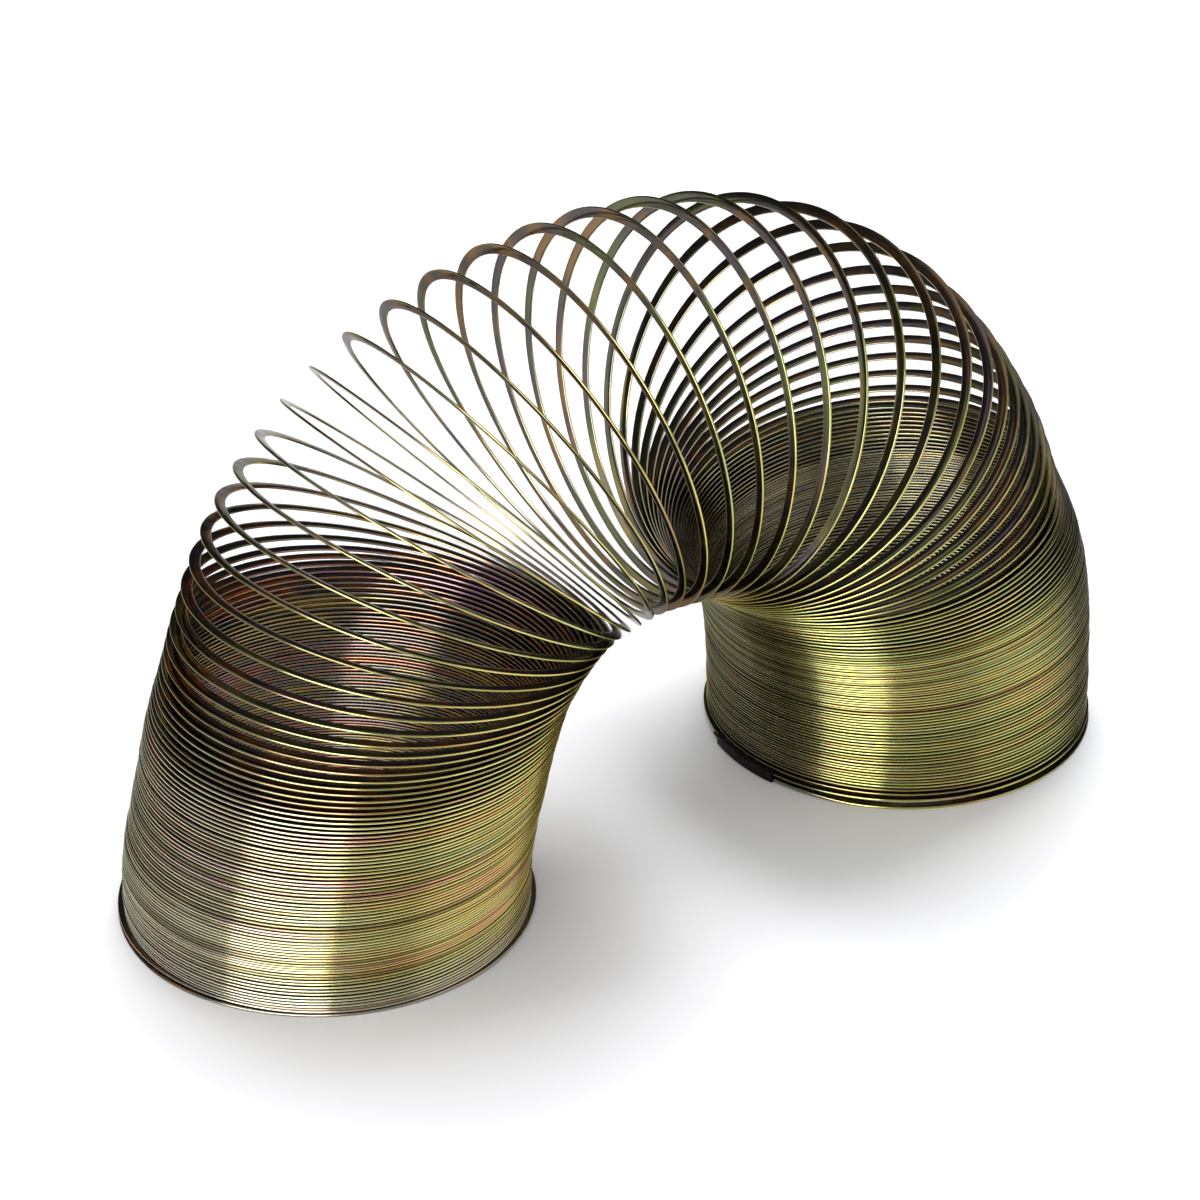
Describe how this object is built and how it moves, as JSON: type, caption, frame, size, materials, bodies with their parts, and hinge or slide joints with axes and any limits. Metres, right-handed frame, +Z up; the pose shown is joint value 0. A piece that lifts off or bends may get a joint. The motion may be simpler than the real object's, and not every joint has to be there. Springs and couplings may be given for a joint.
{
  "type": "spring coil toy",
  "caption": "Metal spring coil toy bent into a standing arch: one long flat wire wound as a helix, stacked in two feet, fanned open over the crown, with a crimped clip at each end",
  "frame": {"origin": "on the floor, halfway between the axes of the two feet, which is the middle of the outline", "axes": "X runs along the arch with the right foot at +X, Y runs across the coil, Z is up from the floor"},
  "size_m": [0.1912, 0.0715, 0.1129],
  "materials": {
    "coil": "flat spring steel wire with a yellow to violet chromate sheen, bright rolled edges",
    "clip": "dark oiled steel sheet"
  },
  "bodies": {
    "right_foot": {"right_stack_01": "coil", "right_stack_02": "coil", "right_stack_03": "coil", "right_stack_04": "coil", "right_stack_05": "coil", "right_stack_06": "coil", "right_stack_07": "coil", "right_stack_08": "coil", "right_stack_09": "coil", "right_stack_10": "coil", "right_stack_11": "coil", "right_end_clip": "clip", "fan_turn_01": "coil", "fan_turn_02": "coil"},
    "turn_03": {"fan_turn_03": "coil"},
    "turn_04": {"fan_turn_04": "coil"},
    "turn_05": {"fan_turn_05": "coil"},
    "turn_06": {"fan_turn_06": "coil"},
    "turn_07": {"fan_turn_07": "coil"},
    "turn_08": {"fan_turn_08": "coil"},
    "turn_09": {"fan_turn_09": "coil"},
    "turn_10": {"fan_turn_10": "coil"},
    "turn_11": {"fan_turn_11": "coil"},
    "turn_12": {"fan_turn_12": "coil"},
    "turn_13": {"fan_turn_13": "coil"},
    "turn_14": {"fan_turn_14": "coil"},
    "turn_15": {"fan_turn_15": "coil"},
    "turn_16": {"fan_turn_16": "coil"},
    "turn_17": {"fan_turn_17": "coil"},
    "turn_18": {"fan_turn_18": "coil"},
    "turn_19": {"fan_turn_19": "coil"},
    "turn_20": {"fan_turn_20": "coil"},
    "turn_21": {"fan_turn_21": "coil"},
    "turn_22": {"fan_turn_22": "coil"},
    "turn_23": {"fan_turn_23": "coil"},
    "turn_24": {"fan_turn_24": "coil"},
    "turn_25": {"fan_turn_25": "coil"},
    "turn_26": {"fan_turn_26": "coil"},
    "turn_27": {"fan_turn_27": "coil"},
    "turn_28": {"fan_turn_28": "coil"},
    "turn_29": {"fan_turn_29": "coil"},
    "turn_30": {"fan_turn_30": "coil"},
    "turn_31": {"fan_turn_31": "coil"},
    "turn_32": {"fan_turn_32": "coil"},
    "turn_33": {"fan_turn_33": "coil"},
    "turn_34": {"fan_turn_34": "coil"},
    "left_foot": {"fan_turn_35": "coil", "fan_turn_36": "coil", "left_stack_11": "coil", "left_stack_10": "coil", "left_stack_09": "coil", "left_stack_08": "coil", "left_stack_07": "coil", "left_stack_06": "coil", "left_stack_05": "coil", "left_stack_04": "coil", "left_stack_03": "coil", "left_stack_02": "coil", "left_stack_01": "coil", "left_end_clip": "clip"}
  },
  "joints": [
    {"name": "fold_03", "type": "hinge", "parent": "right_foot", "child": "turn_03", "pos_m": [0.01786, 0, 0.03787], "axis": [0, 1, 0], "range_deg": [0, 1.54]},
    {"name": "fold_04", "type": "hinge", "parent": "turn_03", "child": "turn_04", "pos_m": [0.01734, 0, 0.03833], "axis": [0, 1, 0], "range_deg": [0, 2.53]},
    {"name": "fold_05", "type": "hinge", "parent": "turn_04", "child": "turn_05", "pos_m": [0.01681, 0, 0.03874], "axis": [0, 1, 0], "range_deg": [0, 3.25]},
    {"name": "fold_06", "type": "hinge", "parent": "turn_05", "child": "turn_06", "pos_m": [0.01626, 0, 0.03911], "axis": [0, 1, 0], "range_deg": [0, 3.52]},
    {"name": "fold_07", "type": "hinge", "parent": "turn_06", "child": "turn_07", "pos_m": [0.01571, 0, 0.03946], "axis": [0, 1, 0], "range_deg": [0, 3.63]},
    {"name": "fold_08", "type": "hinge", "parent": "turn_07", "child": "turn_08", "pos_m": [0.01518, 0, 0.03979], "axis": [0, 1, 0], "range_deg": [0, 3.72]},
    {"name": "fold_09", "type": "hinge", "parent": "turn_08", "child": "turn_09", "pos_m": [0.01466, 0, 0.04013], "axis": [0, 1, 0], "range_deg": [0, 3.92]},
    {"name": "fold_10", "type": "hinge", "parent": "turn_09", "child": "turn_10", "pos_m": [0.01417, 0, 0.04046], "axis": [0, 1, 0], "range_deg": [0, 4.59]},
    {"name": "fold_11", "type": "hinge", "parent": "turn_10", "child": "turn_11", "pos_m": [0.0137, 0, 0.04083], "axis": [0, 1, 0], "range_deg": [0, 6.08]},
    {"name": "fold_12", "type": "hinge", "parent": "turn_11", "child": "turn_12", "pos_m": [0.01323, 0, 0.04123], "axis": [0, 1, 0], "range_deg": [0, 7.72]},
    {"name": "fold_13", "type": "hinge", "parent": "turn_12", "child": "turn_13", "pos_m": [0.01276, 0, 0.04165], "axis": [0, 1, 0], "range_deg": [0, 8.72]},
    {"name": "fold_14", "type": "hinge", "parent": "turn_13", "child": "turn_14", "pos_m": [0.01213, 0, 0.0421], "axis": [0, 1, 0], "range_deg": [0, 8.16]},
    {"name": "fold_15", "type": "hinge", "parent": "turn_14", "child": "turn_15", "pos_m": [0.01094, 0, 0.04269], "axis": [0, 1, 0], "range_deg": [0, 7.2]},
    {"name": "fold_16", "type": "hinge", "parent": "turn_15", "child": "turn_16", "pos_m": [0.00897, 0, 0.04331], "axis": [0, 1, 0], "range_deg": [0, 6.42]},
    {"name": "fold_17", "type": "hinge", "parent": "turn_16", "child": "turn_17", "pos_m": [0.00643, 0, 0.04379], "axis": [0, 1, 0], "range_deg": [0, 6.21]},
    {"name": "fold_18", "type": "hinge", "parent": "turn_17", "child": "turn_18", "pos_m": [0.0038, 0, 0.0441], "axis": [0, 1, 0], "range_deg": [0, 6.22]},
    {"name": "fold_19", "type": "hinge", "parent": "turn_18", "child": "turn_19", "pos_m": [0.00139, 0, 0.0443], "axis": [0, 1, 0], "range_deg": [0, 6.41]},
    {"name": "fold_20", "type": "hinge", "parent": "turn_19", "child": "turn_20", "pos_m": [-0.00072, 0, 0.04447], "axis": [0, 1, 0], "range_deg": [0, 6.64]},
    {"name": "fold_21", "type": "hinge", "parent": "turn_20", "child": "turn_21", "pos_m": [-0.00256, 0, 0.04462], "axis": [0, 1, 0], "range_deg": [0, 6.76]},
    {"name": "fold_22", "type": "hinge", "parent": "turn_21", "child": "turn_22", "pos_m": [-0.0042, 0, 0.0447], "axis": [0, 1, 0], "range_deg": [0, 6.55]},
    {"name": "fold_23", "type": "hinge", "parent": "turn_22", "child": "turn_23", "pos_m": [-0.00569, 0, 0.04473], "axis": [0, 1, 0], "range_deg": [0, 6.19]},
    {"name": "fold_24", "type": "hinge", "parent": "turn_23", "child": "turn_24", "pos_m": [-0.00705, 0, 0.04471], "axis": [0, 1, 0], "range_deg": [0, 5.79]},
    {"name": "fold_25", "type": "hinge", "parent": "turn_24", "child": "turn_25", "pos_m": [-0.0083, 0, 0.04467], "axis": [0, 1, 0], "range_deg": [0, 5.43]},
    {"name": "fold_26", "type": "hinge", "parent": "turn_25", "child": "turn_26", "pos_m": [-0.00948, 0, 0.04457], "axis": [0, 1, 0], "range_deg": [0, 5.1]},
    {"name": "fold_27", "type": "hinge", "parent": "turn_26", "child": "turn_27", "pos_m": [-0.01054, 0, 0.04441], "axis": [0, 1, 0], "range_deg": [0, 4.76]},
    {"name": "fold_28", "type": "hinge", "parent": "turn_27", "child": "turn_28", "pos_m": [-0.01145, 0, 0.04417], "axis": [0, 1, 0], "range_deg": [0, 4.38]},
    {"name": "fold_29", "type": "hinge", "parent": "turn_28", "child": "turn_29", "pos_m": [-0.01226, 0, 0.04387], "axis": [0, 1, 0], "range_deg": [0, 3.93]},
    {"name": "fold_30", "type": "hinge", "parent": "turn_29", "child": "turn_30", "pos_m": [-0.01298, 0, 0.0435], "axis": [0, 1, 0], "range_deg": [0, 3.35]},
    {"name": "fold_31", "type": "hinge", "parent": "turn_30", "child": "turn_31", "pos_m": [-0.01365, 0, 0.04307], "axis": [0, 1, 0], "range_deg": [0, 2.67]},
    {"name": "fold_32", "type": "hinge", "parent": "turn_31", "child": "turn_32", "pos_m": [-0.01427, 0, 0.04259], "axis": [0, 1, 0], "range_deg": [0, 2.02]},
    {"name": "fold_33", "type": "hinge", "parent": "turn_32", "child": "turn_33", "pos_m": [-0.01485, 0, 0.04206], "axis": [0, 1, 0], "range_deg": [0, 1.5]},
    {"name": "fold_34", "type": "hinge", "parent": "turn_33", "child": "turn_34", "pos_m": [-0.01539, 0, 0.04148], "axis": [0, 1, 0], "range_deg": [0, 1.18]},
    {"name": "fold_35", "type": "hinge", "parent": "turn_34", "child": "left_foot", "pos_m": [-0.01589, 0, 0.04087], "axis": [0, 1, 0], "range_deg": [0, 0.936]}
  ],
  "couplings": [
    {"joint": "fold_03", "follows": "fold_13", "ratio": 0.177},
    {"joint": "fold_04", "follows": "fold_13", "ratio": 0.2904},
    {"joint": "fold_05", "follows": "fold_13", "ratio": 0.3728},
    {"joint": "fold_06", "follows": "fold_13", "ratio": 0.4037},
    {"joint": "fold_07", "follows": "fold_13", "ratio": 0.4162},
    {"joint": "fold_08", "follows": "fold_13", "ratio": 0.4269},
    {"joint": "fold_09", "follows": "fold_13", "ratio": 0.4496},
    {"joint": "fold_10", "follows": "fold_13", "ratio": 0.5263},
    {"joint": "fold_11", "follows": "fold_13", "ratio": 0.6966},
    {"joint": "fold_12", "follows": "fold_13", "ratio": 0.8857},
    {"joint": "fold_14", "follows": "fold_13", "ratio": 0.9353},
    {"joint": "fold_15", "follows": "fold_13", "ratio": 0.8257},
    {"joint": "fold_16", "follows": "fold_13", "ratio": 0.7367},
    {"joint": "fold_17", "follows": "fold_13", "ratio": 0.7115},
    {"joint": "fold_18", "follows": "fold_13", "ratio": 0.7135},
    {"joint": "fold_19", "follows": "fold_13", "ratio": 0.7355},
    {"joint": "fold_20", "follows": "fold_13", "ratio": 0.7611},
    {"joint": "fold_21", "follows": "fold_13", "ratio": 0.7749},
    {"joint": "fold_22", "follows": "fold_13", "ratio": 0.7514},
    {"joint": "fold_23", "follows": "fold_13", "ratio": 0.7102},
    {"joint": "fold_24", "follows": "fold_13", "ratio": 0.6638},
    {"joint": "fold_25", "follows": "fold_13", "ratio": 0.6223},
    {"joint": "fold_26", "follows": "fold_13", "ratio": 0.5843},
    {"joint": "fold_27", "follows": "fold_13", "ratio": 0.5453},
    {"joint": "fold_28", "follows": "fold_13", "ratio": 0.5024},
    {"joint": "fold_29", "follows": "fold_13", "ratio": 0.4507},
    {"joint": "fold_30", "follows": "fold_13", "ratio": 0.3834},
    {"joint": "fold_31", "follows": "fold_13", "ratio": 0.3064},
    {"joint": "fold_32", "follows": "fold_13", "ratio": 0.2318},
    {"joint": "fold_33", "follows": "fold_13", "ratio": 0.1723},
    {"joint": "fold_34", "follows": "fold_13", "ratio": 0.1349},
    {"joint": "fold_35", "follows": "fold_13", "ratio": 0.1071}
  ]
}
